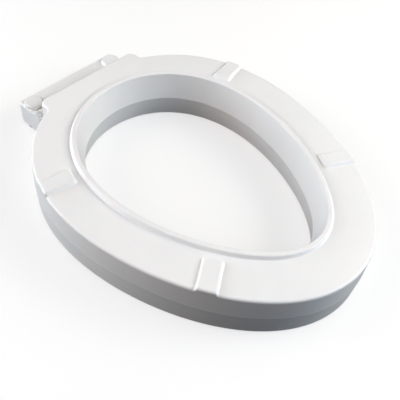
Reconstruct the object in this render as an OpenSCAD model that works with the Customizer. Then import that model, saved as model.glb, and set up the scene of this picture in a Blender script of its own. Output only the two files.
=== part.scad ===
// Hinged raised toilet seat: a hollow egg-shaped riser ring that lifts on a rear bar.
// Origin: midway between the two bowl bolts, on the plane of the bowl's rim.
// +Z is up, -Y is the front of the bowl, and sizes are in millimetres.

/* [Ring] */
// Greatest width of the ring
ring_w = 366.5; // [330:0.5:390]
// Length of the ring from its nose to its flat rear wall
ring_l = 449; // [420:1:480]
// Height of the flat top face
top_h = 66; // [50:1:100]
// Height of the line where the two half shells meet
part_h = 34; // [20:1:60]
// Wall thickness of the shells
wall = 3; // [2:0.5:5]
// Width of the squared-off rear of the ring
tail_w = 168; // [160:1:176]
// How far the squared-off rear stands behind the egg curve
tail_d = 2.5; // [1:0.5:6]

/* [Opening] */
// Greatest width of the opening at the lip
hole_w = 250; // [220:1:260]
// Length of the opening at the lip
hole_l = 341; // [300:1:350]
// Distance from the nose of the ring to the front of the opening
hole_front = 61; // [50:1:80]
// Height of the lip over the top face
lip_h = 5; // [2:0.5:8]
// How far the walls of the opening lean in at the meeting line
lean = 8; // [2:1:10]

/* [Pads] */
// Height of the four raised pads
pad_h = 4; // [2:0.5:8]
// Width of the flat top of a pad
pad_w = 18; // [10:1:24]
// Width of the slope on each side of a pad
pad_slope = 4; // [2:0.5:6]
// Place of the front pads round the egg curve, degrees from the nose
front_pad = 57.6; // [45:0.1:70]
// Place of the front pads round the opening, degrees from its front
front_face = 54.8; // [45:0.1:70]
// Place of the rear pads round the egg curve, degrees from the nose
rear_pad = 117.6; // [100:0.1:130]
// Place of the rear pads round the opening, degrees from its front
rear_face = 118.6; // [100:0.1:130]

/* [Hinge bar] */
// Spacing of the bowl bolts
bolt_pitch = 140; // [139:0.5:156]
// Diameter of the bolt holes
bolt_d = 10; // [8:0.5:11]
// Length of the bar
bar_l = 168; // [168:1:172]
// Depth of the bar, front to rear
bar_d = 34; // [32:1:40]
// Height of the top of the bar
bar_h = 35.5; // [32:0.5:36]
// Height of the round bosses at the bolts
boss_h = 38.5; // [38:0.5:39]
// Distance from the bolts forward to the ring's rear wall
ring_gap = 30; // [29.5:0.5:31]

/* [Hinge] */
// Diameter of the hinge pins
pin_d = 8; // [6:0.5:8]
// Distance from the bolts forward to the hinge line
axis_gap = 20; // [19.5:0.5:21]
// Height of the hinge line
axis_h = 32; // [31.5:0.5:34]
// Distance of each ring ear from the middle
ear_x = 66; // [65:0.5:66]

/* [Feet] */
// Thickness of the rubber feet under the bar
foot_h = 3; // [2:0.5:5]
// Thickness of the rubber bumpers under the ring
ring_low = 1.5; // [1:0.5:3]
// Diameter of the rubber bumpers
foot_d = 24; // [16:1:30]

/* [Hidden] */
$fn = 64;
nose_y = -(ring_gap + ring_l);
tail_y = -ring_gap;
egg_b = (ring_l - tail_d) / 2;
egg_y = nose_y + egg_b;
egg_a = ring_w / 2 / 1.015;
hole_b = hole_l / 2;
hole_y = nose_y + hole_front + hole_b;
hole_a = hole_w / 2 / 1.015;
tail_r = 12;
egg_end = 156;
mm_per_deg = 3.6;
hole_mm_per_deg = 3.0;
pad_half = pad_w / 2 / mm_per_deg;
pad_foot = pad_half + pad_slope / mm_per_deg;
pad_turn = (pad_w / 2 + pad_slope) / hole_mm_per_deg;
rear_steps = 10;

bar_r = 5;
boss_r = 13.5;
sink_r = 11.5;
sink_h = 7;
cover_r = 12.3;
cover_t = 1.7;
cover_wall = 1.6;
cover_skirt = 3.5;
bush_wall = 2;
core_top = 31;
core_y = -9;

knuckle_r = 6.5;
ear_w = 20;
cheek_w = 7;
side_gap = 1;
end_gap = 1.5;
washer_t = 0.7;
bush_r = pin_d / 2 + 1.5;
run_fit = 0.05;
plate_t = 4;
plate_low = 9;
screw_r = 2;
screw_head_r = 3.6;
sunk = 0.3;
screw_zs = [13, 21.5];
pin_x0 = ear_x - ear_w / 2 - side_gap - cheek_w;
pin_x1 = ear_x + ear_w / 2 + side_gap + cheek_w;
pin_head_r = 5.4;
pin_head_t = 1.6;
pin_end = 0.5;
cap_t = 1.6;
cap_r = pin_head_r + 0.2;
head_x = pin_x1 - cap_t - pin_head_t;

// Bumper centres under the ring
feet = [[148, -152.5], [98, -384.5]];

white = [0.93, 0.93, 0.92];
rubber_black = [0.07, 0.07, 0.08];
steel = [0.75, 0.76, 0.78];
nylon = [0.86, 0.86, 0.82];

// Egg curve: t = 0 is the nose, t = 180 the rear, and the right side comes first.
function egg(a, b, yc, e1, e2, t) =
    [a * sin(t) * (1 - e1 * cos(t) + e2 * cos(t) * cos(t)), yc - b * cos(t)];

function egg_point(t) = egg(egg_a, egg_b, egg_y, 0.165, 0.068, t);
function hole_point(t) = egg(hole_a, hole_b, hole_y, 0.19, 0, t);

// Rear right corner of the ring: out of the egg curve, round the corner, along the flat.
function corner_point(k) =
    k == 1 ? [tail_w / 2 + 0.9, tail_y - 17.6]
    : k == 2 ? [tail_w / 2, tail_y - 15.5]
    : k <= 7 ? [tail_w / 2 - tail_r + tail_r * cos((k - 3) * 22.5),
                tail_y - tail_r + tail_r * sin((k - 3) * 22.5)]
    : [(tail_w / 2 - tail_r) * (rear_steps - k) / 3, tail_y];

// Stations along the egg: [angle, 1 on top of a pad], evenly spaced between the pads.
function span(a, b, n) = [for (k = [1:n - 1]) [a + (b - a) * k / n, 0]];
function pad_stations(t) =
    [[t - pad_foot, 0], [t - pad_half, 1], [t + pad_half, 1], [t + pad_foot, 0]];

egg_list = concat(
    [[0, 0]],
    span(0, front_pad - pad_foot, 14),
    pad_stations(front_pad),
    span(front_pad + pad_foot, rear_pad - pad_foot, 14),
    pad_stations(rear_pad),
    span(rear_pad + pad_foot, egg_end, 9),
    [[egg_end, 0]]);
egg_steps = len(egg_list) - 1;
half = egg_steps + rear_steps;
stations = 2 * half;

// The opening's own angle that faces each angle of the outer curve.
function facing(t) = lookup(t, [
    [0, 0],
    [front_pad - pad_foot, front_face - pad_turn], [front_pad + pad_foot, front_face + pad_turn],
    [rear_pad - pad_foot, rear_face - pad_turn], [rear_pad + pad_foot, rear_face + pad_turn],
    [egg_end, 152]]);

function outer_half(i) =
    i <= egg_steps ? egg_point(egg_list[i][0]) : corner_point(i - egg_steps);

function hole_half(i) =
    hole_point(i <= egg_steps ? facing(egg_list[i][0])
        : facing(egg_end) + (i - egg_steps) * (180 - facing(egg_end)) / rear_steps);

function lift_half(i) = i <= egg_steps ? egg_list[i][1] * pad_h : 0;

function flip(p) = [-p[0], p[1]];

function outer_at(i) = i <= half ? outer_half(i) : flip(outer_half(stations - i));
function hole_at(i) = i <= half ? hole_half(i) : flip(hole_half(stations - i));

function lift_at(i) = i <= half ? lift_half(i) : lift_half(stations - i);

function wrap(i) = (i + stations) % stations;
function unit(v) = v / norm(v);
function left_of(v) = [-v[1], v[0]];

// A point moved d into the material from its own wall.
function outer_off(i, d) =
    outer_at(i) + d * left_of(unit(outer_at(wrap(i + 1)) - outer_at(wrap(i - 1))));
function hole_off(i, d) =
    hole_at(i) - d * left_of(unit(hole_at(wrap(i + 1)) - hole_at(wrap(i - 1))));

// A section point is [wall, depth into the material, height, 1 if a pad lifts it].
// Wall 0 is the outer one and wall 1 the opening's.
function place(i, s) =
    let (p = s[0] == 0 ? outer_off(i, s[1]) : hole_off(i, s[1]))
        [p[0], p[1], s[2] + s[3] * lift_at(i)];

// A closed section carried round the ring.
module sweep(section) {
    m = len(section);
    points = [for (i = [0:stations - 1]) for (s = section) place(i, s)];
    faces = [for (i = [0:stations - 1]) for (j = [0:m - 1])
        let (a = i * m + j,
             b = i * m + (j + 1) % m,
             c = wrap(i + 1) * m + (j + 1) % m,
             d = wrap(i + 1) * m + j)
        each [[a, b, c], [a, c, d]]];
    polyhedron(points = points, faces = faces);
}

top_section = [
    [0, 0, part_h, 0],
    [0, 1.1, top_h - 4.5, 0],
    [0, 1.5, top_h - 2.2, 1],
    [0, 2.7, top_h - 0.8, 1],
    [0, 5, top_h, 1],
    [1, 20, top_h, 1],
    [1, 15, top_h, 0],
    [1, 9, top_h, 0],
    [1, 7.8, top_h + lip_h - 1, 0],
    [1, 6.6, top_h + lip_h, 0],
    [1, 1.6, top_h + lip_h, 0],
    [1, 0, top_h + lip_h - 1.6, 0],
    [1, -lean, part_h, 0],
    [1, -lean + wall, part_h, 0],
    [1, 4, top_h - wall, 0],
    [0, 8, top_h - wall, 0],
    [0, 4.4, top_h - 7, 0],
    [0, wall, part_h, 0]
];

base_section = [
    [0, 0, part_h, 0],
    [0, wall, part_h, 0],
    [0, wall + 1, ring_low + wall, 0],
    [1, 0.2, ring_low + wall, 0],
    [1, -lean + wall, part_h, 0],
    [1, -lean, part_h, 0],
    [1, -2.8, ring_low + 1, 0],
    [1, -1.8, ring_low, 0],
    [0, 2, ring_low, 0],
    [0, 1, ring_low + 1, 0]
];

module ring_top() {
    color(white) sweep(top_section);
}

module ring_base() {
    color(white) sweep(base_section);
}

module rounded(l, w, r) {
    square([l - 2 * r, w], center = true);
    square([l, w - 2 * r], center = true);
    for (sx = [-1, 1]) for (sy = [-1, 1])
        translate([sx * (l / 2 - r), sy * (w / 2 - r)]) circle(r);
}

module at_feet() {
    for (p = feet) for (s = [-1, 1])
        translate([s * p[0], p[1], 0]) children();
}

module bumpers() {
    color(rubber_black) at_feet() rotate_extrude()
        polygon([[screw_head_r + 0.05 - ring_low + sunk, ring_low], [foot_d / 2, ring_low],
                 [foot_d / 2 - 0.7, 0], [screw_head_r + 0.4, 0], [screw_head_r + 0.05, sunk]]);
}

// Countersunk screws from below through each bumper into the floor of the ring.
module bumper_screws() {
    color(steel) at_feet() {
        translate([0, 0, sunk]) cylinder(r1 = screw_head_r, r2 = screw_r, h = screw_head_r - screw_r);
        translate([0, 0, sunk + screw_head_r - screw_r]) cylinder(r = screw_r, h = 8);
    }
}

// Plugs that close the two moulding holes in the rear wall.
module drain_plugs() {
    color(nylon) for (s = [-1, 1])
        translate([s * 22, tail_y - 0.8, 20]) rotate([-90, 0, 0]) {
            cylinder(r = 6, h = 1.5);
            translate([0, 0, -5]) cylinder(r = 4, h = 5);
        }
}

// Right ear of the ring: a screwed plate with a knuckle over its top edge.
module ear_shape() {
    difference() {
        union() {
            translate([ear_x - ear_w / 2, tail_y, plate_low])
                cube([ear_w, plate_t, axis_h - plate_low]);
            translate([ear_x - ear_w / 2, tail_y, axis_h - knuckle_r])
                cube([ear_w, ring_gap - axis_gap, knuckle_r]);
            translate([ear_x - ear_w / 2, -axis_gap, axis_h])
                rotate([0, 90, 0]) cylinder(r = knuckle_r, h = ear_w);
        }
        translate([ear_x - ear_w / 2 - 1, -axis_gap, axis_h])
            rotate([0, 90, 0]) cylinder(r = bush_r, h = ear_w + 2);
        for (z = screw_zs)
            translate([ear_x, tail_y - 1, z]) rotate([-90, 0, 0])
                cylinder(r = screw_r + 0.2, h = plate_t + 2);
    }
}

module ear_right() {
    color(nylon) ear_shape();
}

module ear_left() {
    color(nylon) mirror([1, 0, 0]) ear_shape();
}

module ear_screws() {
    color(steel) for (s = [-1, 1]) for (z = screw_zs)
        translate([s * ear_x, tail_y, z]) rotate([-90, 0, 0]) {
            translate([0, 0, plate_t]) cylinder(r1 = screw_head_r, r2 = screw_head_r - 1.2, h = 1.8);
            translate([0, 0, -12]) cylinder(r = screw_r, h = plate_t + 12);
        }
}

module tube_x(x0, x1, r_out, r_in) {
    translate([x0, -axis_gap, axis_h]) rotate([0, 90, 0])
        difference() {
            cylinder(r = r_out, h = x1 - x0);
            translate([0, 0, -1]) cylinder(r = r_in, h = x1 - x0 + 2);
        }
}

module ear_bushes() {
    color(nylon) for (s = [-1, 1])
        mirror([s < 0 ? 1 : 0, 0, 0])
            tube_x(ear_x - ear_w / 2, ear_x + ear_w / 2, bush_r, pin_d / 2 + run_fit);
}

// One cheek of the bar beside a ring ear, from x0 rightwards.
module cheek(x0) {
    translate([x0, -axis_gap, axis_h - knuckle_r])
        cube([cheek_w, axis_gap - bar_d / 2 + 8, 2 * knuckle_r - 3]);
    translate([x0, -axis_gap, axis_h])
        rotate([0, 90, 0]) cylinder(r = knuckle_r, h = cheek_w);
}

// Wall round the outer cheek that closes the end of the bar down to its foot.
module end_wall() {
    translate([pin_x1 - cheek_w, tail_y + end_gap, foot_h])
        cube([cheek_w, ring_gap - end_gap - bar_d / 2 + 8, axis_h + 3 - foot_h]);
}

module bar_half() {
    cheek(ear_x + ear_w / 2 + side_gap);
    cheek(ear_x - ear_w / 2 - side_gap - cheek_w);
    end_wall();
    translate([bolt_pitch / 2, 0, foot_h]) cylinder(r = boss_r, h = boss_h - foot_h);
}

// Holes and clearances of the right half of the bar.
module bar_half_cuts() {
    translate([ear_x - ear_w / 2 - side_gap, -bar_d / 2 - 1, foot_h - 1])
        cube([ear_w + 2 * side_gap, 5, boss_h]);
    translate([pin_x0 - 1, -axis_gap, axis_h])
        rotate([0, 90, 0]) cylinder(r = pin_d / 2, h = bar_l);
    translate([head_x, -axis_gap, axis_h])
        rotate([0, 90, 0]) cylinder(r = cap_r, h = bar_l);
    translate([bolt_pitch / 2, 0, boss_h - sink_h]) cylinder(r = sink_r, h = sink_h + 1);
    translate([bolt_pitch / 2, 0, 0]) cylinder(r = bolt_d / 2 + bush_wall, h = boss_h);
    for (x = [3, 28])
        translate([x, core_y, foot_h - 1]) cube([22, bar_d / 2 - wall - core_y, core_top - foot_h + 1]);
}

module hinge_bar() {
    color(white) difference() {
        union() {
            translate([0, 0, foot_h]) linear_extrude(bar_h - foot_h) rounded(bar_l, bar_d, bar_r);
            bar_half();
            mirror([1, 0, 0]) bar_half();
        }
        bar_half_cuts();
        mirror([1, 0, 0]) bar_half_cuts();
    }
}

module at_bolts() {
    for (s = [-1, 1])
        translate([s * bolt_pitch / 2, 0, 0]) children();
}

module bolt_bushes() {
    color(steel) at_bolts() difference() {
        cylinder(r = bolt_d / 2 + bush_wall, h = boss_h - sink_h);
        translate([0, 0, -1]) cylinder(r = bolt_d / 2, h = boss_h);
    }
}

// Snap covers over the bolt heads, each a disc with a skirt that grips the boss.
module bolt_covers() {
    color(white) at_bolts() rotate_extrude()
        polygon([[0, boss_h - 0.8], [sink_r - cover_wall, boss_h - 0.8],
                 [sink_r - cover_wall, boss_h - cover_skirt], [sink_r, boss_h - cover_skirt],
                 [sink_r, boss_h], [cover_r, boss_h], [cover_r, boss_h + 0.7],
                 [cover_r - 1, boss_h + cover_t - 0.2], [0, boss_h + cover_t]]);
}

module bar_feet() {
    color(rubber_black) at_bolts() difference() {
        cylinder(r = boss_r - 0.5, h = foot_h);
        translate([0, 0, -1]) cylinder(r = bolt_d / 2 + bush_wall, h = foot_h + 2);
    }
}

// Right hinge pin: its head sits in the outer cheek, under a cap flush with the end of the bar.
module pin_shape() {
    translate([pin_x0 + pin_end, -axis_gap, axis_h]) rotate([0, 90, 0])
        cylinder(r = pin_d / 2, h = head_x - pin_x0 - pin_end);
    translate([head_x, -axis_gap, axis_h]) rotate([0, 90, 0])
        cylinder(r1 = pin_head_r, r2 = pin_head_r - 0.6, h = pin_head_t);
}

module hinge_pin_right() {
    color(steel) pin_shape();
}

module hinge_pin_left() {
    color(steel) mirror([1, 0, 0]) pin_shape();
}

module pin_caps() {
    color(white) for (s = [-1, 1]) mirror([s < 0 ? 1 : 0, 0, 0])
        translate([pin_x1 - cap_t, -axis_gap, axis_h]) rotate([0, 90, 0]) cylinder(r = cap_r, h = cap_t);
}

module hinge_washers() {
    color(nylon) for (s = [-1, 1]) mirror([s < 0 ? 1 : 0, 0, 0]) {
        tube_x(ear_x - ear_w / 2 - side_gap, ear_x - ear_w / 2 - side_gap + washer_t,
               knuckle_r - 0.3, pin_d / 2);
        tube_x(ear_x + ear_w / 2 + side_gap - washer_t, ear_x + ear_w / 2 + side_gap,
               knuckle_r - 0.3, pin_d / 2);
    }
}

ring_top();
ring_base();
bumpers();
bumper_screws();
drain_plugs();
ear_left();
ear_right();
ear_screws();
ear_bushes();
hinge_bar();
bolt_bushes();
bolt_covers();
bar_feet();
hinge_pin_left();
hinge_pin_right();
pin_caps();
hinge_washers();
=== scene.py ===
"""Looks of a hinged raised toilet seat: skins over the CAD parts, materials, stage, lights and camera.

The CAD's frame is used throughout. Shapes are drawn in millimetres, and new_object() makes them metres.
"""

from math import cos, pi, radians, sin, tan

import bmesh
import bpy
import numpy as np
from mathutils import Matrix, Vector


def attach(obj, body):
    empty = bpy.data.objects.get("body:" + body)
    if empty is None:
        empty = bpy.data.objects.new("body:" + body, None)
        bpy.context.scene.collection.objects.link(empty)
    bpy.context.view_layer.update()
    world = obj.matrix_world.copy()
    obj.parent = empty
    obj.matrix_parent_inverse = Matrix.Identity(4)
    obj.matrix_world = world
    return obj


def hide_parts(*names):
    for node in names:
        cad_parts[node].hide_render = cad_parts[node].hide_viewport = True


MM = 0.001

# Sizes of the ring, the same as the CAD part's.
RING_W = 366.5
RING_L = 449.0
TOP_H = 66.0
PART_H = 34.0
WALL = 3.0
TAIL_W = 168.0
TAIL_D = 2.5
TAIL_R = 12.0
HOLE_W = 250.0
HOLE_L = 341.0
HOLE_FRONT = 61.0
LIP_H = 5.0
LEAN = 8.0
PAD_H = 4.0
PAD_W = 18.0
PAD_SLOPE = 4.0
PADS_AT = (57.6, 117.6)
PADS_FACE = (54.8, 118.6)
RING_LOW = 1.5
FEET_AT = ((148.0, -152.5), (98.0, -384.5))
FOOT_R = 12.0

# Sizes of the bar, the hinge and the small parts, the same as the CAD part's.
BOLT_X = 70.0
BAR_L = 168.0
BAR_D = 34.0
BAR_R = 5.0
BAR_H = 35.5
BAR_LOW = 3.0
BOSS_H = 38.5
BOSS_R = 13.5
SINK_R = 11.5
SINK_H = 7.0
BUSH_R = 7.0
COVER_R = 12.3
COVER_T = 1.7
COVER_WALL = 1.6
COVER_SKIRT = 3.5
RING_GAP = 30.0
AXIS_Y = -20.0
AXIS_H = 32.0
KNUCKLE_R = 6.5
EAR_X = 66.0
EAR_W = 20.0
SIDE_GAP = 1.0
CHEEK_W = 7.0
END_GAP = 1.5
PLATE_T = 4.0
PIN_R = 4.0
PIN_END = 0.5
PIN_HEAD_R = 5.4
PIN_HEAD_T = 1.6
CAP_T = 1.6
CAP_R = PIN_HEAD_R + 0.2
CHEEK_BACK = 8.0
CORE_TOP = 31.0
CORE_Y = -9.0
CORE_W = 22.0
CORES_AT = (3.0, 28.0)
SCREW_R = 2.0
SCREW_HEAD_R = 3.6
SUNK = 0.3
SCREW_ZS = (13.0, 21.5)
PLUG_R = 4.0
PLUG_HEAD_R = 6.0
PLUG_X = 22.0
PLUG_Z = 20.0

# Places and curves that follow from the sizes.
NOSE_Y = -(RING_GAP + RING_L)
TAIL_Y = -RING_GAP
# The egg curves: how much the rear swells, how much both ends do, and the greatest half width reached.
EGG_SWELL = 0.165
EGG_FULL = 0.068
EGG_REACH = 1.015
HOLE_SWELL = 0.19
HOLE_REACH = 1.015
# Degrees from the nose at which the egg curve gives way to the squared rear.
EGG_END = 156.0
HOLE_END = 152.0
# Length of the wall for each degree of the egg curve, near the pads.
MM_PER_DEG = 3.6
HOLE_MM_PER_DEG = 3.0
EGG_A = RING_W / 2 / EGG_REACH
EGG_B = (RING_L - TAIL_D) / 2
EGG_Y = NOSE_Y + EGG_B
HOLE_A = HOLE_W / 2 / HOLE_REACH
HOLE_B = HOLE_L / 2
HOLE_Y = NOSE_Y + HOLE_FRONT + HOLE_B
INNER_CHEEK = EAR_X - EAR_W / 2 - SIDE_GAP - CHEEK_W
OUTER_CHEEK = EAR_X + EAR_W / 2 + SIDE_GAP
PIN_HEAD_X = OUTER_CHEEK + CHEEK_W - CAP_T - PIN_HEAD_T

# Camera, worked out from the photograph's perspective.
CAM_AZIMUTH = -54.6
CAM_ELEVATION = 50.34
CAM_ROLL = 8.3
CAM_DISTANCE = 0.7274
CAM_TARGET = Vector((-0.00874, -0.25683, 0.0))
CAM_LENS = 49.9

# Lights and stage.
LIGHT_TARGET = Vector((0, -0.2525, 0.03))
LIGHT_DISTANCE = 1.7
STAGE_R = 6000.0
STAGE_H = 6000.0
STAGE_BEND = 2500.0


# ---------------------------------------------------------------- mesh helpers


def new_object(name, verts, faces, sharp=38.0):
    """An object from millimetre points, welded, facing outwards and smooth below the sharp angle."""
    mesh = bpy.data.meshes.new(name)
    mesh.from_pydata((np.asarray(verts, float) * MM).tolist(), [], faces)
    bm = bmesh.new()
    bm.from_mesh(mesh)
    bmesh.ops.remove_doubles(bm, verts=bm.verts, dist=1e-6)
    bmesh.ops.recalc_face_normals(bm, faces=bm.faces)
    bm.to_mesh(mesh)
    bm.free()
    obj = bpy.data.objects.new(name, mesh)
    bpy.context.scene.collection.objects.link(obj)
    shade(obj, sharp)
    return obj


def shade(obj, sharp):
    obj.data.polygons.foreach_set("use_smooth", [True] * len(obj.data.polygons))
    obj.data.set_sharp_from_angle(angle=radians(sharp))


def grid_faces(rows, columns, closed_columns=True):
    """Quads of a grid whose rows wrap round, and whose columns may."""
    last = columns if closed_columns else columns - 1
    return [
        (i * columns + j, (i + 1) % rows * columns + j, (i + 1) % rows * columns + (j + 1) % columns,
         i * columns + (j + 1) % columns)
        for i in range(rows)
        for j in range(last)
    ]


def rounded(corners, steps=6):
    """Corners are (x, y, radius). Each radius becomes a smooth bend, and the open run's ends stay put."""
    run = []
    for i, (x, y, radius) in enumerate(corners):
        here = np.array([x, y])
        if radius == 0 or i in (0, len(corners) - 1):
            run.append(here)
            continue
        back = np.array(corners[i - 1][:2]) - here
        on = np.array(corners[i + 1][:2]) - here
        back_len, on_len = np.linalg.norm(back), np.linalg.norm(on)
        back, on = back / back_len, on / on_len
        half = np.arccos(np.clip(back @ on, -1, 1)) / 2
        cut = min(radius / tan(half), 0.49 * back_len, 0.49 * on_len)
        for k in range(steps + 1):
            u = k / steps
            run.append(here + back * cut * (1 - u) ** 2 + on * cut * u * u)
    return run


def lathe(name, run, centre=(0, 0, 0), axis="Z", steps=96, closed=False, sharp=38.0):
    """A run of (radius, height) turned round an axis. An open run starts and ends on the axis."""
    points = []
    for k in range(steps):
        a = 2 * pi * k / steps
        points += [(r * cos(a), r * sin(a), h) for r, h in run]
    points = np.array(points)
    if axis == "X":
        points = points[:, [2, 0, 1]]
    elif axis == "Y":
        points = points[:, [0, 2, 1]]
    return new_object(name, points + np.array(centre), grid_faces(steps, len(run), closed), sharp)


def prism(name, outline, low, high, axis="Z", edge=0.0, low_edge=None, sharp=38.0):
    """An outline carried along an axis, with rounded rims. The outline is (x, y), or (y, z) along X."""
    outline = np.array(outline)
    n = len(outline)
    ahead = np.roll(outline, -1, 0) - outline
    ahead /= np.linalg.norm(ahead, axis=1)[:, None]
    behind = np.roll(ahead, 1, 0)
    turn = ahead + behind
    normal = np.stack([-turn[:, 1], turn[:, 0]], 1)
    normal /= np.linalg.norm(normal, axis=1)[:, None]
    area = np.sum(outline[:, 0] * np.roll(outline[:, 1], -1) - np.roll(outline[:, 0], -1) * outline[:, 1])
    inset = normal * np.sign(area)
    low_edge = edge if low_edge is None else low_edge
    levels = []
    for rim, base, way in ((low_edge, low, 1), (edge, high, -1)):
        steps = [k * pi / 10 for k in range(6)] if rim else [pi / 2]
        ring = [(rim * (1 - sin(a)), base + way * rim * (1 - cos(a))) for a in steps]
        levels += ring if way == 1 else ring[::-1]
    points = []
    for depth, height in levels:
        flat = outline + inset * depth
        points.append(np.column_stack([flat, np.full(n, height)]))
    points = np.concatenate(points)
    faces = [
        (k * n + i, k * n + (i + 1) % n, (k + 1) * n + (i + 1) % n, (k + 1) * n + i)
        for k in range(len(levels) - 1)
        for i in range(n)
    ]
    faces += [tuple(range(n)), tuple(range((len(levels) - 1) * n, len(levels) * n))]
    if axis == "X":
        points = points[:, [2, 0, 1]]
    return new_object(name, points, faces, sharp)


def rounded_box_outline(x0, x1, y0, y1, r, steps=12):
    outline = []
    left, right, front, rear = x0 + r, x1 - r, y0 + r, y1 - r
    for cx, cy, start in ((right, rear, 0), (left, rear, 90), (left, front, 180), (right, front, 270)):
        for k in range(steps + 1):
            a = radians(start + 90 * k / steps)
            outline.append((cx + r * cos(a), cy + r * sin(a)))
    return outline


def combine(obj, others, operation):
    """Adds the others to obj or cuts them from it, and removes them."""
    for other in others:
        step = obj.modifiers.new("combine", "BOOLEAN")
        step.operation = operation
        step.solver = "EXACT"
        step.object = other
    bpy.context.view_layer.update()
    mesh = bpy.data.meshes.new_from_object(obj.evaluated_get(bpy.context.evaluated_depsgraph_get()))
    obj.modifiers.clear()
    obj.data = mesh
    for other in others:
        bpy.data.objects.remove(other)


def join(parts, sharp):
    """One object of several separate closed shells."""
    bm = bmesh.new()
    for part in parts:
        bm.from_mesh(part.data)
    bm.to_mesh(parts[0].data)
    bm.free()
    for other in parts[1:]:
        bpy.data.objects.remove(other)
    shade(parts[0], sharp)
    return parts[0]


def mirrored(obj):
    """Turns a right-hand shape into a left-hand one."""
    obj.data.transform(Matrix.Scale(-1, 4, (1, 0, 0)))
    obj.data.flip_normals()
    return obj


# ---------------------------------------------------------------- outlines of the ring


def egg(a, b, y, swell, full, t):
    """A point of an egg curve at t degrees from its front, right side first."""
    c = cos(radians(t))
    return np.array([a * sin(radians(t)) * (1 - swell * c + full * c * c), y - b * c])


def egg_point(t):
    return egg(EGG_A, EGG_B, EGG_Y, EGG_SWELL, EGG_FULL, t)


def hole_point(t):
    return egg(HOLE_A, HOLE_B, HOLE_Y, HOLE_SWELL, 0.0, t)


def smoothstep(x):
    x = np.clip(x, 0.0, 1.0)
    return x * x * (3 - 2 * x)


def pad_lift(t):
    """1 on top of a pad, 0 off it, with rounded slopes between."""
    off = min(abs(t - pad) for pad in PADS_AT) * MM_PER_DEG - PAD_W / 2
    return 1 - float(smoothstep(off / PAD_SLOPE))


def egg_angles():
    """Angles along the egg, close together on the slopes of the pads."""
    marks = {0.0, EGG_END}
    t = 0.0
    while t < EGG_END:
        marks.add(round(t, 4))
        off = min(abs(t - pad) for pad in PADS_AT) * MM_PER_DEG - PAD_W / 2
        t += (0.3 if -1 < off < PAD_SLOPE + 1 else 2.0) / MM_PER_DEG
    return sorted(marks)


def tail_path():
    """Out of the egg curve, round the squared rear corner and along the flat, on the right side."""
    side = TAIL_W / 2
    start = egg_point(EGG_END)
    run = start - egg_point(EGG_END - 0.1)
    bend = start + run * (side - start[0]) / run[0]
    end = np.array([side, TAIL_Y - TAIL_R - 3.5])
    fillet = [start * (1 - u) ** 2 + 2 * bend * u * (1 - u) + end * u * u for u in np.linspace(0, 1, 13)]
    centre = np.array([side - TAIL_R, TAIL_Y - TAIL_R])
    arc = [centre + TAIL_R * np.array([cos(a), sin(a)]) for a in np.linspace(0, pi / 2, 25)]
    flat = [np.array([x, TAIL_Y]) for x in np.linspace(side - TAIL_R, 0, 24)[1:]]
    return fillet[1:] + arc + flat


def half_ring():
    """Right half, nose to rear middle: points of the outer wall, points of the opening, pad lifts."""
    angles = egg_angles()
    outer = [egg_point(t) for t in angles]
    reach = PAD_W / 2 + PAD_SLOPE
    marks = [0] + [pad + way * reach / MM_PER_DEG for pad in PADS_AT for way in (-1, 1)] + [EGG_END]
    faced = [0] + [pad + way * reach / HOLE_MM_PER_DEG for pad in PADS_FACE for way in (-1, 1)] + [HOLE_END]
    facing = list(np.interp(angles, marks, faced))
    lift = [pad_lift(t) for t in angles]
    tail = tail_path()
    runs = np.cumsum([np.linalg.norm(b - a) for a, b in zip([outer[-1], *tail], tail)])
    outer += tail
    facing += list(HOLE_END + (180 - HOLE_END) * runs / runs[-1])
    lift += [0.0] * len(tail)
    return np.array(outer), np.array([hole_point(f) for f in facing]), np.array(lift)


def left_normals(loop):
    run = np.roll(loop, -1, 0) - np.roll(loop, 1, 0)
    run /= np.linalg.norm(run, axis=1)[:, None]
    return np.stack([-run[:, 1], run[:, 0]], 1)


def whole_ring():
    outer, hole, lift = half_ring()
    flip = np.array([-1, 1])
    outer = np.concatenate([outer, outer[-2:0:-1] * flip])
    hole = np.concatenate([hole, hole[-2:0:-1] * flip])
    lift = np.concatenate([lift, lift[-2:0:-1]])
    return (outer, left_normals(outer)), (hole, -left_normals(hole)), lift


def sweep(name, section):
    """A closed section carried round the ring.

    A section point is (wall, depth into the material, height, share of the pad lift). Wall 0 is the outer
    one and wall 1 the opening's.
    """
    outer, hole, lift = whole_ring()
    points = np.zeros((len(lift), len(section), 3))
    for j, (wall, depth, height, share) in enumerate(section):
        loop, normal = hole if wall else outer
        points[:, j, :2] = loop + depth * normal
        points[:, j, 2] = height + PAD_H * share * lift
    return new_object(name, points.reshape(-1, 3), grid_faces(len(lift), len(section)))


def top_section():
    shoulder = rounded(
        [
            (WALL, PART_H, 0),
            (0, PART_H, 0.3),
            (1.0, TOP_H - 9, 12),
            (1.4, TOP_H, 3.8),
            (12, TOP_H, 0),
        ],
        steps=10,
    )
    section = [(0, d, h, float(smoothstep((h - (TOP_H - 9)) / 4))) for d, h in shoulder]
    inner_slope = np.linspace(20, 15, 9)
    section += [(1, d, TOP_H, float(smoothstep((d - 15) / 5))) for d in inner_slope]
    lip = rounded(
        [
            (12.5, TOP_H, 0),
            (8.2, TOP_H, 1.8),
            (6.2, TOP_H + LIP_H, 2.2),
            (0.2, TOP_H + LIP_H, 2.2),
            (-LEAN, PART_H, 0.3),
            (WALL - LEAN, PART_H, 0),
            (4, TOP_H - WALL, 0),
        ],
        steps=8,
    )
    section += [(1, d, h, 0.0) for d, h in lip]
    return section + [(0, 8, TOP_H - WALL, 0.0), (0, 4.4, TOP_H - 7, 0.0)]


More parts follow.
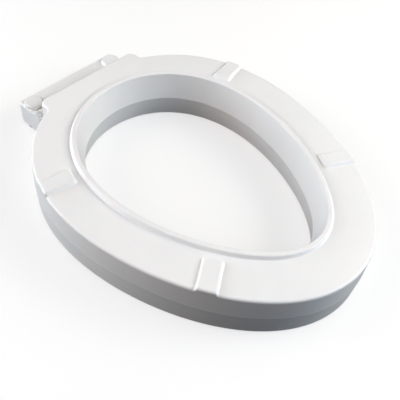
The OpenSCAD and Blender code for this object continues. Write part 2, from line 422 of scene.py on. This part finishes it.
def base_section():
    floor_top = RING_LOW + WALL
    outer = rounded(
        [
            (5, RING_LOW, 0),
            (1, RING_LOW, 1.0),
            (0, PART_H, 0.3),
            (WALL, PART_H, 0),
            (WALL + 1, floor_top, 0),
        ],
        steps=8,
    )
    hole = rounded(
        [
            (0.2, floor_top, 0),
            (WALL - LEAN, PART_H, 0),
            (-LEAN, PART_H, 0.3),
            (-2.7, RING_LOW, 1.0),
            (4, RING_LOW, 0),
        ],
        steps=8,
    )
    return [(0, d, h, 0.0) for d, h in outer] + [(1, d, h, 0.0) for d, h in hole]


# ---------------------------------------------------------------- hinge bar


def bar_skin():
    """The rear bar: a flat beam with a round boss at each bolt and two pairs of hinge cheeks."""
    beam = rounded_box_outline(-BAR_L / 2, BAR_L / 2, -BAR_D / 2, BAR_D / 2, BAR_R)
    bar = prism("hinge_bar_skin", beam, BAR_LOW, BAR_H, edge=2.5, low_edge=0.8)
    boss_run = rounded(
        [(0, BAR_LOW, 0), (BOSS_R, BAR_LOW, 0.8), (BOSS_R, BOSS_H, 0.8), (0, BOSS_H, 0)],
        steps=8,
    )
    adds = []
    cuts = []
    for side in (-1, 1):
        adds.append(lathe("boss", boss_run, (side * BOLT_X, 0, 0)))
        adds += [cheek(side, INNER_CHEEK), cheek(side, OUTER_CHEEK), end_wall(side)]
        cuts += bar_cuts(side)
    combine(bar, adds, "UNION")
    combine(bar, cuts, "DIFFERENCE")
    shade(bar, 32)
    return bar


def cheek(side, x):
    """A D-shaped cheek that holds the hinge pin."""
    arc = np.linspace(radians(29), radians(270), 29)
    outline = [(AXIS_Y + KNUCKLE_R * cos(a), AXIS_H + KNUCKLE_R * sin(a)) for a in arc]
    back = -BAR_D / 2 + CHEEK_BACK
    outline += [(back, AXIS_H - KNUCKLE_R), (back, AXIS_H + KNUCKLE_R * sin(arc[0]))]
    piece = prism("cheek", outline, x, x + CHEEK_W, axis="X", edge=0.8)
    return mirrored(piece) if side < 0 else piece


def end_wall(side):
    """The wall round the outer cheek that closes the end of the bar down to its foot."""
    outline = rounded_box_outline(TAIL_Y + END_GAP, -BAR_D / 2 + CHEEK_BACK, BAR_LOW, AXIS_H + 3, 1.5, 5)
    piece = prism("end_wall", outline, OUTER_CHEEK, OUTER_CHEEK + CHEEK_W, axis="X", edge=0.8)
    return mirrored(piece) if side < 0 else piece


def bar_cuts(side):
    """Bolt hole, counterbore, gap for the ring's ear, pin hole and the hollows underneath."""
    seat = BOSS_H - SINK_H
    bore = rounded(
        [
            (0, BAR_LOW - 1, 0),
            (BUSH_R, BAR_LOW - 1, 0),
            (BUSH_R, seat, 0),
            (SINK_R, seat, 0.8),
            (SINK_R, BOSS_H + 2, 0),
            (0, BOSS_H + 2, 0),
        ]
    )
    cuts = [lathe("bore", bore, (side * BOLT_X, 0, 0))]
    gap = EAR_W / 2 + SIDE_GAP
    x, front = side * EAR_X, -BAR_D / 2
    outline = rounded_box_outline(x - gap, x + gap, front - 3, front + 4, 1.2, 5)
    cuts.append(prism("gap", outline, BAR_LOW - 1, BOSS_H + 2))
    pin_run = [
        (0, INNER_CHEEK - 1),
        (PIN_R, INNER_CHEEK - 1),
        (PIN_R, PIN_HEAD_X),
        (CAP_R, PIN_HEAD_X),
        (CAP_R, BAR_L / 2 + 1),
        (0, BAR_L / 2 + 1),
    ]
    hole = lathe("pin_hole", pin_run, (0, AXIS_Y, AXIS_H), axis="X", steps=48)
    cuts.append(mirrored(hole) if side < 0 else hole)
    for start in CORES_AT:
        low, high = sorted((side * start, side * (start + CORE_W)))
        outline = rounded_box_outline(low, high, CORE_Y, BAR_D / 2 - WALL, 2, 5)
        cuts.append(prism("hollow", outline, BAR_LOW - 2, CORE_TOP, edge=1.5, low_edge=0))
    return cuts


def covers_skin():
    """Snap covers of the bolt heads: a low dome over a skirt, with a notch to pry it off."""
    inner = SINK_R - COVER_WALL
    run = rounded(
        [
            (0, BOSS_H - 0.8, 0),
            (inner, BOSS_H - 0.8, 0.3),
            (inner, BOSS_H - COVER_SKIRT, 0.2),
            (SINK_R, BOSS_H - COVER_SKIRT, 0.5),
            (SINK_R, BOSS_H, 0),
            (COVER_R, BOSS_H, 0.15),
            (COVER_R - 0.1, BOSS_H + 0.9, 0.6),
            (COVER_R - 1.4, BOSS_H + COVER_T - 0.3, 1.2),
            (0, BOSS_H + COVER_T, 0),
        ],
        steps=6,
    )
    parts = []
    for side in (-1, 1):
        x = side * BOLT_X
        cover = lathe("bolt_covers_skin", run, (x, 0, 0))
        outline = rounded_box_outline(x - 1.6, x + 1.6, COVER_R - 1.8, COVER_R + 1, 0.8, 4)
        notch = prism("notch", outline, BOSS_H - 0.4, BOSS_H + 3, edge=0.2)
        combine(cover, [notch], "DIFFERENCE")
        parts.append(cover)
    return join(parts, 35)


# ---------------------------------------------------------------- small parts


def cross_cut(x, y, z, axis="Z", size=3.6, depth=1.6):
    """The cutter of a cross recess with tapered arms, standing at a point."""
    arms = []
    for turn in (0, pi / 2):
        outline = []
        for u, v in ((-0.5, -0.16), (0.5, -0.16), (0.5, 0.16), (-0.5, 0.16)):
            outline.append((size * (u * cos(turn) - v * sin(turn)), size * (u * sin(turn) + v * cos(turn))))
        arm = prism("arm", outline, -depth, depth)
        arms.append(arm)
    combine(arms[0], arms[1:], "UNION")
    cutter = arms[0]
    turned = Matrix.Rotation(radians(-90), 4, "X") if axis == "Y" else Matrix.Identity(4)
    cutter.data.transform(Matrix.Translation(Vector((x, y, z)) * MM) @ turned)
    return cutter


def bumper_skin():
    """Four thin rubber bumpers with two fine grooves and a countersunk screw hole."""
    run = rounded(
        [
            (SCREW_HEAD_R + 0.05 - (RING_LOW - SUNK), RING_LOW, 0),
            (FOOT_R, RING_LOW, 0.2),
            (FOOT_R - 0.2, 0.8, 0.2),
            (FOOT_R - 0.8, 0, 0.5),
            (FOOT_R - 2.6, 0, 0.1),
            (FOOT_R - 3.0, 0.4, 0.1),
            (FOOT_R - 3.4, 0, 0.1),
            (FOOT_R - 4.6, 0, 0.1),
            (FOOT_R - 5.0, 0.4, 0.1),
            (FOOT_R - 5.4, 0, 0.1),
            (SCREW_HEAD_R + 0.4, 0, 0.15),
            (SCREW_HEAD_R + 0.05, SUNK, 0),
        ],
        steps=4,
    )
    parts = [
        lathe("bumpers_skin", run, (side * x, y, 0), closed=True)
        for x, y in FEET_AT
        for side in (-1, 1)
    ]
    return join(parts, 40)


def bumper_screws_skin():
    """Countersunk screws with a cross recess, seen from below."""
    neck = SUNK + SCREW_HEAD_R - SCREW_R
    run = rounded(
        [
            (0, SUNK, 0),
            (SCREW_HEAD_R, SUNK, 0.15),
            (SCREW_R, neck, 0.2),
            (SCREW_R, neck + 6.6, 0),
            (0, neck + 8, 0),
        ],
        steps=5,
    )
    parts = []
    for x, y in FEET_AT:
        for side in (-1, 1):
            screw = lathe("bumper_screws_skin", run, (side * x, y, 0), steps=40)
            combine(screw, [cross_cut(side * x, y, SUNK, depth=1.0)], "DIFFERENCE")
            parts.append(screw)
    return join(parts, 35)


def ear_screws_skin():
    """The two screws of each ear, with cross recesses towards the rear."""
    run = rounded(
        [
            (0, -12, 0),
            (SCREW_R, -10.5, 0.2),
            (SCREW_R, PLATE_T, 0),
            (SCREW_HEAD_R, PLATE_T, 0.2),
            (SCREW_HEAD_R - 0.2, PLATE_T + 0.8, 0.8),
            (SCREW_HEAD_R - 1.3, PLATE_T + 1.8, 0.8),
            (0, PLATE_T + 1.8, 0),
        ],
        steps=5,
    )
    parts = []
    for side in (-1, 1):
        for z in SCREW_ZS:
            screw = lathe("ear_screws_skin", run, (side * EAR_X, TAIL_Y, z), axis="Y", steps=40)
            combine(screw, [cross_cut(side * EAR_X, TAIL_Y + PLATE_T + 2, z, axis="Y")], "DIFFERENCE")
            parts.append(screw)
    return join(parts, 35)


def plugs_skin():
    """Push-in plugs with a domed, dished head on the rear wall."""
    run = rounded(
        [
            (0, -5.6, 0),
            (PLUG_R - 0.6, -5.6, 0.6),
            (PLUG_R, -4.4, 0.3),
            (PLUG_R, 0, 0),
            (PLUG_HEAD_R, 0, 0.3),
            (PLUG_HEAD_R, 0.5, 0.4),
            (PLUG_HEAD_R - 0.8, 0.7, 0.5),
            (PLUG_HEAD_R - 2.6, 0.5, 0.8),
            (PLUG_HEAD_R - 3.8, 0.15, 0.8),
            (0, 0.1, 0),
        ],
        steps=5,
    )
    parts = [
        lathe("drain_plugs_skin", run, (side * PLUG_X, TAIL_Y, PLUG_Z), axis="Y", steps=64)
        for side in (-1, 1)
    ]
    return join(parts, 40)


def pin_skin(side, name):
    """A hinge pin with a low head and a chamfered inner end."""
    start = INNER_CHEEK + PIN_END
    top = PIN_HEAD_X + PIN_HEAD_T
    run = rounded(
        [
            (0, start, 0),
            (PIN_R - 0.6, start, 0),
            (PIN_R, start + 0.6, 0),
            (PIN_R, PIN_HEAD_X, 0),
            (PIN_HEAD_R, PIN_HEAD_X, 0.2),
            (PIN_HEAD_R - 0.6, top, 0.5),
            (0, top, 0),
        ],
        steps=6,
    )
    pin = lathe(name, run, (0, AXIS_Y, AXIS_H), axis="X", steps=64)
    return mirrored(pin) if side < 0 else pin


# ---------------------------------------------------------------- materials


class Nodes:
    """A material's node tree, with short ways to add the nodes that every finish here uses."""

    def __init__(self, name):
        self.material = bpy.data.materials.new(name)
        self.material.use_nodes = True
        self.tree = self.material.node_tree
        self.shader = self.tree.nodes["Principled BSDF"]
        self.coords = self.add("ShaderNodeTexCoord")

    def add(self, kind, **settings):
        node = self.tree.nodes.new(kind)
        for key, value in settings.items():
            setattr(node, key, value)
        return node

    def link(self, out, into):
        self.tree.links.new(out, into)

    def set(self, **values):
        for key, value in values.items():
            self.shader.inputs[key.replace("_", " ")].default_value = value

    def noise(self, scale, detail=3.0, rough=0.5, stretch=(1, 1, 1)):
        """Noise in the object's own space, where the scale counts features per metre."""
        place = self.add("ShaderNodeMapping")
        place.inputs["Scale"].default_value = stretch
        self.link(self.coords.outputs["Object"], place.inputs["Vector"])
        node = self.add("ShaderNodeTexNoise")
        node.inputs["Scale"].default_value = scale
        node.inputs["Detail"].default_value = detail
        node.inputs["Roughness"].default_value = rough
        self.link(place.outputs["Vector"], node.inputs["Vector"])
        return node.outputs["Fac"]

    def spread(self, value, low, high, to_low, to_high):
        node = self.add("ShaderNodeMapRange")
        for key, number in (("From Min", low), ("From Max", high), ("To Min", to_low), ("To Max", to_high)):
            node.inputs[key].default_value = number
        self.link(value, node.inputs["Value"])
        return node.outputs["Result"]

    def mix(self, factor, first, second):
        """A colour between two, where each is a colour or a link."""
        node = self.add("ShaderNodeMix", data_type="RGBA")
        self.link(factor, node.inputs["Factor"])
        for socket, value in ((node.inputs[6], first), (node.inputs[7], second)):
            if isinstance(value, tuple):
                socket.default_value = (*value, 1)
            else:
                self.link(value, socket)
        return node.outputs[2]

    def bump(self, height, strength, distance, under=None):
        node = self.add("ShaderNodeBump")
        node.inputs["Strength"].default_value = strength
        node.inputs["Distance"].default_value = distance
        self.link(height, node.inputs["Height"])
        if under is not None:
            self.link(under, node.inputs["Normal"])
        return node.outputs["Normal"]


def moulded_plastic(name, colours, roughness):
    """Satin moulded plastic: cloudy colour, fine spark-eroded grain, faint flow waves and light scuffs."""
    clear, cloudy, scuffed = colours
    m = Nodes(name)
    m.set(IOR=1.5, Subsurface_Weight=0.06, Subsurface_Scale=0.004, Coat_Weight=0.08, Coat_Roughness=0.25)
    cloud = m.spread(m.noise(9, 4), 0.35, 0.65, 0, 1)
    colour = m.mix(cloud, clear, cloudy)
    scuff = m.spread(m.noise(60, 6, 0.65, (1, 1, 3)), 0.64, 0.78, 0, 0.35)
    m.link(m.mix(scuff, colour, scuffed), m.shader.inputs["Base Color"])
    rough = m.spread(m.noise(140, 5, 0.6), 0.3, 0.7, roughness - 0.05, roughness + 0.07)
    m.link(rough, m.shader.inputs["Roughness"])
    flow = m.bump(m.noise(14, 2), 0.25, 0.0009)
    m.link(m.bump(m.noise(1800, 2, 0.6), 0.35, 0.00006, flow), m.shader.inputs["Normal"])
    return m.material


def rubber(name):
    """Matte black rubber with pale dust in a fine grain."""
    m = Nodes(name)
    m.set(IOR=1.5, Sheen_Weight=0.15, Sheen_Roughness=0.5)
    dust = m.spread(m.noise(220, 6, 0.65), 0.5, 0.75, 0, 0.5)
    m.link(m.mix(dust, (0.022, 0.022, 0.024), (0.085, 0.084, 0.08)), m.shader.inputs["Base Color"])
    m.link(m.spread(m.noise(400, 4), 0.3, 0.7, 0.62, 0.85), m.shader.inputs["Roughness"])
    m.link(m.bump(m.noise(2600, 3, 0.6), 0.6, 0.0001), m.shader.inputs["Normal"])
    return m.material


def steel(name):
    """Plain stainless steel with turning marks and a few dull spots."""
    m = Nodes(name)
    m.set(Metallic=1.0, IOR=2.5)
    tone = m.spread(m.noise(180, 4), 0.3, 0.7, 0, 1)
    m.link(m.mix(tone, (0.60, 0.61, 0.63), (0.48, 0.485, 0.5)), m.shader.inputs["Base Color"])
    marks = m.noise(900, 3, 0.5, (1, 1, 6))
    m.link(m.spread(marks, 0.3, 0.7, 0.22, 0.42), m.shader.inputs["Roughness"])
    m.link(m.bump(marks, 0.25, 0.00004), m.shader.inputs["Normal"])
    return m.material


# ---------------------------------------------------------------- stage


def floor():
    """A pale sheet on which the feet stand, slightly uneven in tone. Far out it curves up into a wall."""
    sheet = lathe("floor", rounded([(0, 0, 0), (STAGE_R, 0, STAGE_BEND), (STAGE_R, STAGE_H, 0)], steps=16))
    m = Nodes("floor_paper")
    m.link(m.mix(m.noise(3, 2), (0.35, 0.35, 0.35), (0.37, 0.37, 0.37)), m.shader.inputs["Base Color"])
    m.set(Roughness=0.9, Specular_IOR_Level=0.1, Emission_Color=(1, 1, 1, 1), Emission_Strength=0.62)
    sheet.data.materials.append(m.material)
    # The ring's walls get no light back from the floor, as in the photograph.
    sheet.visible_diffuse = False
    sheet.visible_glossy = False


def softbox(name, azimuth, elevation, size, power, colour):
    """A soft light aimed at the ring. Azimuth turns from +X towards +Y."""
    a, e = radians(azimuth), radians(elevation)
    away = Vector((cos(e) * cos(a), cos(e) * sin(a), sin(e)))
    light = bpy.data.lights.new(name, "AREA")
    light.shape = "RECTANGLE"
    light.size, light.size_y = size
    light.energy = power
    light.color = colour
    obj = bpy.data.objects.new(name, light)
    obj.location = LIGHT_TARGET + away * LIGHT_DISTANCE
    obj.rotation_euler = (-away).to_track_quat("-Z", "Y").to_euler()
    bpy.context.scene.collection.objects.link(obj)


def lights():
    softbox("front_right", 300, 35, (1.4, 1.0), 26.2, (0.81, 0.90, 1.0))
    softbox("right_warm", 330, 35, (1.4, 1.0), 15.4, (1.0, 0.865, 0.67))
    softbox("left_rear", 142, 35, (1.4, 1.0), 18.6, (1.0, 0.893, 0.852))
    softbox("left_rear_low", 122, 12, (1.4, 0.7), 21.5, (0.80, 0.92, 1.0))
    world = bpy.data.worlds.new("studio")
    world.use_nodes = True
    world.node_tree.nodes["Background"].inputs["Color"].default_value = (0.8, 0.9, 1.0, 1)
    world.node_tree.nodes["Background"].inputs["Strength"].default_value = 0.003
    bpy.context.scene.world = world
    bpy.context.scene.view_settings.view_transform = "Standard"


def camera():
    a, e, r = radians(CAM_AZIMUTH), radians(CAM_ELEVATION), radians(CAM_ROLL)
    back = Vector((sin(a) * cos(e), -cos(a) * cos(e), sin(e)))
    right = (-back).cross(Vector((0, 0, 1))).normalized()
    up = right.cross(-back)
    cam = bpy.data.cameras.new("camera")
    cam.sensor_width = 36
    cam.lens = CAM_LENS
    obj = bpy.data.objects.new("camera", cam)
    axes = Matrix((cos(r) * right + sin(r) * up, cos(r) * up - sin(r) * right, back)).transposed()
    obj.matrix_world = Matrix.Translation(CAM_TARGET + back * CAM_DISTANCE) @ axes.to_4x4()
    bpy.context.scene.collection.objects.link(obj)
    bpy.context.scene.camera = obj


# ---------------------------------------------------------------- assembly


def dress(obj, body, slot, material, *nodes):
    """Gives a new piece its finish, its body and the CAD nodes that it stands for."""
    obj.data.materials.clear()
    obj.data.materials.append(material)
    # Large flat faces keep their own direction, so the rounded rims don't shade them.
    even = obj.modifiers.new("even", "WEIGHTED_NORMAL")
    even.keep_sharp = True
    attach(obj, body)
    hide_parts(*nodes)


def finish_node(obj, material, edge):
    """A CAD node that stays: welded, its edges eased, and its own finish."""
    obj.data.materials.clear()
    obj.data.materials.append(material)
    weld = obj.modifiers.new("weld", "WELD")
    weld.merge_threshold = 1e-6
    ease = obj.modifiers.new("ease", "BEVEL")
    ease.width = edge * MM
    ease.segments = 2
    ease.limit_method = "ANGLE"
    ease.angle_limit = radians(40)


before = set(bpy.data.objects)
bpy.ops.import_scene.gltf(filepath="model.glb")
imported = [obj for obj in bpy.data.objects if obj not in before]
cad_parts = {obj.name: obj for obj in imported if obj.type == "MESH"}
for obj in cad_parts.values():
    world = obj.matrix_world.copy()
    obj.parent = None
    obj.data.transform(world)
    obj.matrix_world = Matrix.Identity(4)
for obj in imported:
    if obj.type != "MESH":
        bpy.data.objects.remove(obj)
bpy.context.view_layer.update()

shell_white = moulded_plastic(
    "shell_white",
    colours=((0.86, 0.86, 0.86), (0.82, 0.825, 0.83), (0.70, 0.70, 0.68)),
    roughness=0.42,
)
bar_white = moulded_plastic(
    "bar_white",
    colours=((0.85, 0.855, 0.86), (0.81, 0.82, 0.83), (0.68, 0.68, 0.66)),
    roughness=0.36,
)
nylon = moulded_plastic(
    "nylon",
    colours=((0.80, 0.79, 0.74), (0.76, 0.75, 0.70), (0.62, 0.60, 0.54)),
    roughness=0.34,
)
black_rubber = rubber("black_rubber")
plain_steel = steel("plain_steel")

dress(sweep("ring_top_skin", top_section()), "ring", "white_shell", shell_white, "ring_top")
dress(sweep("ring_base_skin", base_section()), "ring", "white_shell", shell_white, "ring_base")
dress(bar_skin(), "bar", "white_bar", bar_white, "hinge_bar")
dress(covers_skin(), "bar", "white_bar", bar_white, "bolt_covers")
dress(bumper_skin(), "ring", "black_rubber", black_rubber, "bumpers")
dress(bumper_screws_skin(), "ring", "steel", plain_steel, "bumper_screws")
dress(ear_screws_skin(), "ring", "steel", plain_steel, "ear_screws")
dress(plugs_skin(), "ring", "nylon", nylon, "drain_plugs")
dress(pin_skin(-1, "hinge_pin_left_skin"), "bar", "steel", plain_steel, "hinge_pin_left")
dress(pin_skin(1, "hinge_pin_right_skin"), "bar", "steel", plain_steel, "hinge_pin_right")

for node, material, edge in (
    ("ear_left", nylon, 0.5),
    ("ear_right", nylon, 0.5),
    ("ear_bushes", nylon, 0.2),
    ("pin_caps", bar_white, 0.3),
    ("hinge_washers", nylon, 0.1),
    ("bolt_bushes", plain_steel, 0.3),
    ("bar_feet", black_rubber, 0.4),
):
    finish_node(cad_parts[node], material, edge)

floor()
lights()
camera()
